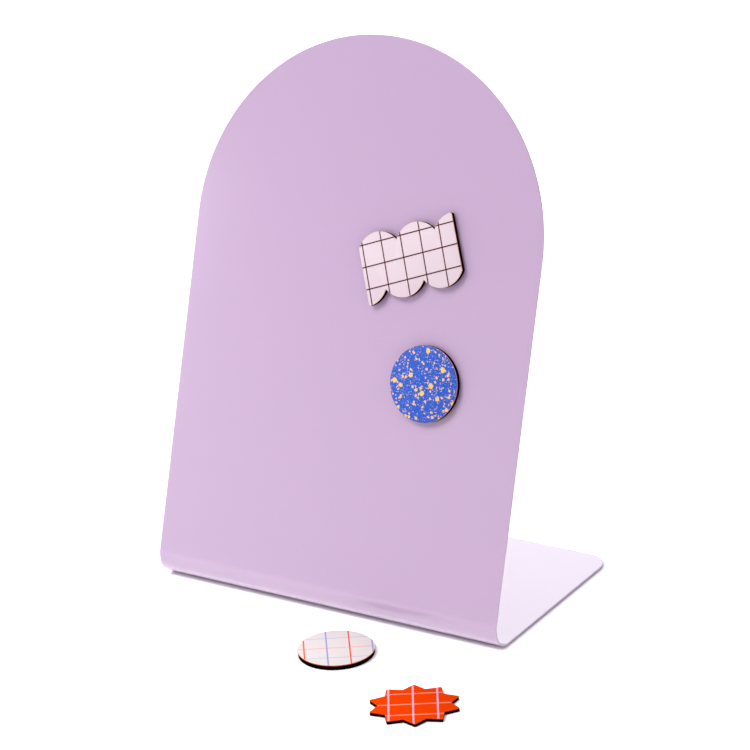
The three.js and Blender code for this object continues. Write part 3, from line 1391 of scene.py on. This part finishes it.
@dataclass(frozen=True)
class Lamp:
    """A soft square lamp that looks at the board.

    Attributes:
        azimuth: Degrees round from the board's front towards its right.
        elevation: Degrees above the desk.
        distance: From the point that it looks at.
        size: Its side.
        level: How bright it makes a white card that faces it, where 1 is white.
    """

    name: str
    azimuth: float
    elevation: float
    distance: float
    size: float
    level: float
    color: Rgb = (1.0, 1.0, 1.0)

    def build(self, target: Vector) -> None:
        """Places the lamp. Its power is level times pi squared times the distance squared.

        Args:
            target: The point that it looks at.
        """
        away = direction(self.azimuth, self.elevation)
        data = bpy.data.lights.new(self.name, "AREA")
        data.shape = "SQUARE"
        data.size = self.size
        data.energy = self.level * math.pi**2 * self.distance**2
        data.color = self.color
        place = target + away * self.distance
        lamp = stand(self.name, data, place, (-away).to_track_quat("-Z", "Y"))
        lamp.visible_camera = False


@dataclass
class Studio:
    """White surroundings, a pale floor, soft lamps and the camera."""

    origin: Vector
    ambient: float = 0.24
    ambient_tint: Rgb = (1.0, 0.9, 1.1)
    room_level: float = 0.1
    room_from: float = 0.1
    room_fade: float = 0.15
    room_side_share: float = 0.5
    room_side_gain: float = 2.5
    floor_side: float = 12.0
    floor_color: Rgb = (0.9, 0.9, 0.9)
    floor_glow: float = 0.75
    contact_reach: float = 3 * MM
    contact_samples: int = 16
    lamp_aim_height: float = 0.1
    lamps: tuple[Lamp, ...] = (
        Lamp("key", -42, 52, 3.0, 1.3, 0.65, (1.0, 1.02, 0.98)),
        Lamp("low_left", -60, 6, 0.7, 0.4, 0.18),
        Lamp("low_front", 0, 8, 1.4, 0.9, 0.11),
        Lamp("top", -20, 80, 3.0, 2.0, 0.13),
        Lamp("right", 88, 12, 2.0, 1.0, 0.2),
        Lamp("back", 213, 24, 2.0, 1.1, 0.245, (0.95, 0.96, 1.0)),
    )
    azimuth: float = 33.026
    elevation: float = 21.717
    roll: float = -3.110
    distance: float = 1580.222 * MM
    look_at: tuple[float, float, float] = (32.162 * MM, 0.0, 137.138 * MM)
    lens: float = 149.314
    sensor: float = 36.0
    clip_near: float = 0.1
    clip_far: float = 100.0

    def build_world(self) -> None:
        """White to the eye, a dim faint purple as light, and in gloss white but grey high up in front.

        The grey's share rises with height over room_fade from room_from. It also rises from back to front,
        as room_side_share less room_side_gain times the way back.
        """
        world = bpy.data.worlds.new("white_room")
        bpy.context.scene.world = world
        graph = Graph(world)
        eye, seen = graph.view_rays()
        _, back, up = graph.split(graph.node("ShaderNodeTexCoord").out("Generated"))
        high = ((up - self.room_from) / self.room_fade).unit()
        ahead = (self.room_side_share - back * self.room_side_gain).unit()
        bright = 1 - high * ahead * (1 - self.room_level) * (1 - eye)
        tinted = {"Color": (*self.ambient_tint, 1), "Strength": self.ambient}
        dim = graph.node("ShaderNodeBackground", {}, tinted)
        white = graph.node("ShaderNodeBackground", {}, {"Color": (1, 1, 1, 1), "Strength": bright})
        both = graph.node("ShaderNodeMixShader", {}, {0: seen, 1: dim.out(), 2: white.out()})
        graph.node("ShaderNodeOutputWorld", {}, {"Surface": both.out()})

    def build_floor(self) -> None:
        """A wide flat floor: matt and pale, with a glow to the eye that fades where pieces touch it.

        The glow is floor_glow times the square of the share of the sky that is open within contact_reach, so
        its fade near pieces is painted contact shade.
        """
        half = self.floor_side / 2
        corners = np.array([[-half, -half, 0], [half, -half, 0], [half, half, 0], [-half, half, 0]])
        surface = Surface(corners, np.arange(4), np.array([4]))
        floor = make_piece("floor", surface, Matrix.Identity(4))
        material, graph = new_graph("white_floor")
        _, seen = graph.view_rays()
        samples, reach = {"samples": self.contact_samples}, {"Distance": self.contact_reach}
        # Painted contact shade: the glow dims with the occlusion near pieces, so the floor there is darker
        # than the lamps alone make it.
        open_share = graph.node("ShaderNodeAmbientOcclusion", samples, reach).out("AO")
        glow = {"Color": (1, 1, 1, 1), "Strength": seen * open_share * open_share * self.floor_glow}
        matt = graph.node("ShaderNodeBsdfDiffuse", {}, {"Color": (*self.floor_color, 1)})
        lit = graph.node("ShaderNodeEmission", {}, glow)
        both = graph.node("ShaderNodeAddShader", {}, {0: matt.out(), 1: lit.out()})
        graph.node("ShaderNodeOutputMaterial", {}, {"Surface": both.out()})
        floor.data.materials.append(material)

    def build_camera(self) -> None:
        """Stands the camera on a sphere round the point that it looks at, and rolls it."""
        turn, roll = math.radians(self.azimuth), math.radians(self.roll)
        back = direction(self.azimuth, self.elevation)
        right = Vector((math.cos(turn), math.sin(turn), 0))
        up = back.cross(right)
        rolled_right = right * math.cos(roll) + up * math.sin(roll)
        rolled_up = up * math.cos(roll) - right * math.sin(roll)
        data = bpy.data.cameras.new("camera")
        data.lens = self.lens
        data.sensor_width = self.sensor
        data.clip_start = self.clip_near
        data.clip_end = self.clip_far
        attitude = Matrix((rolled_right, rolled_up, back)).transposed().to_quaternion()
        place = self.origin + Vector(self.look_at) + back * self.distance
        bpy.context.scene.camera = stand("camera", data, place, attitude)

    def build(self) -> None:
        """Makes the studio."""
        bpy.context.scene.view_settings.view_transform = "Standard"
        self.build_world()
        self.build_floor()
        self.build_camera()
        for lamp in self.lamps:
            lamp.build(self.origin + Vector((0, 0, self.lamp_aim_height)))


# The four magnets' finishes


PINK_FILM = GridFilm(
    ground=rgb(228, 210, 218),
    name="pink_film",
    families=(
        LineFamily(11.64 * MM, -3.4 * MM, 0.7 * MM, rgb(84, 14, 10), rgb(84, 14, 10), math.radians(1.1)),
        LineFamily(11.54 * MM, 1.86 * MM, 0.7 * MM, rgb(80, 18, 8), rgb(80, 18, 8), math.radians(0.35)),
    ),
)
WHITE_FILM = GridFilm(
    ground=rgb(242, 235, 230),
    name="white_film",
    families=(
        LineFamily(
            11.77 * MM, -4.87 * MM, 0.75 * MM, rgb(164, 164, 228), rgb(255, 96, 64), math.radians(-1.1),
        ),
        LineFamily(
            11.07 * MM, -0.1 * MM, 0.75 * MM, rgb(255, 190, 178), rgb(212, 212, 236), math.radians(-0.7),
        ),
    ),
)
ORANGE_FILM = GridFilm(
    ground=rgb(255, 70, 2),
    name="orange_film",
    shine=0.0,
    edge_light=rgb(255, 128, 44),
    edge_dark=rgb(170, 34, 10),
    families=(
        LineFamily(12.2 * MM, -0.67 * MM, 0.95 * MM, rgb(246, 186, 212), rgb(246, 186, 212)),
        LineFamily(11.07 * MM, -0.17 * MM, 1.05 * MM, rgb(255, 150, 128), rgb(255, 150, 128)),
    ),
)
BLUE_FILM = SpeckleFilm(ground=rgb(60, 110, 216), name="blue_film")


def main() -> None:
    """Builds the studio, the sheet, the pads and the magnets in order."""
    logging.basicConfig(level=logging.INFO, format="%(name)s: %(message)s")
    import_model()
    sheet = FoldedSheet(PowderCoat())
    Studio(sheet.origin).build()
    sheet.build()
    GripPads(GripRubber()).build()
    board_finish = CharredBoard().material()
    puck_finish = NickelPlate().material()
    shared = {"board_finish": board_finish, "puck_finish": puck_finish, "sheet": sheet}
    scallop = Magnet(
        "scallop", ScallopOutline(), PINK_FILM, "pink_print", Seat.PANEL, math.radians(20.2), **shared,
    )
    speckle_disc = Magnet("speckle_disc", DiscOutline(), BLUE_FILM, "blue_print", Seat.PANEL, 0.0, **shared)
    grid_disc = Magnet(
        "grid_disc", DiscOutline(), WHITE_FILM, "white_print", Seat.DESK, math.radians(34),
        wall_draft=0.25 * MM, **shared,
    )
    star = Magnet(
        "star", StarOutline(), ORANGE_FILM, "orange_print", Seat.DESK, math.radians(31.9),
        board_thickness=1.75 * MM, **shared,
    )
    for magnet in (scallop, speckle_disc, grid_disc, star):
        magnet.build(f"{magnet.name}_magnet")


if __name__ == "__main__":
    main()
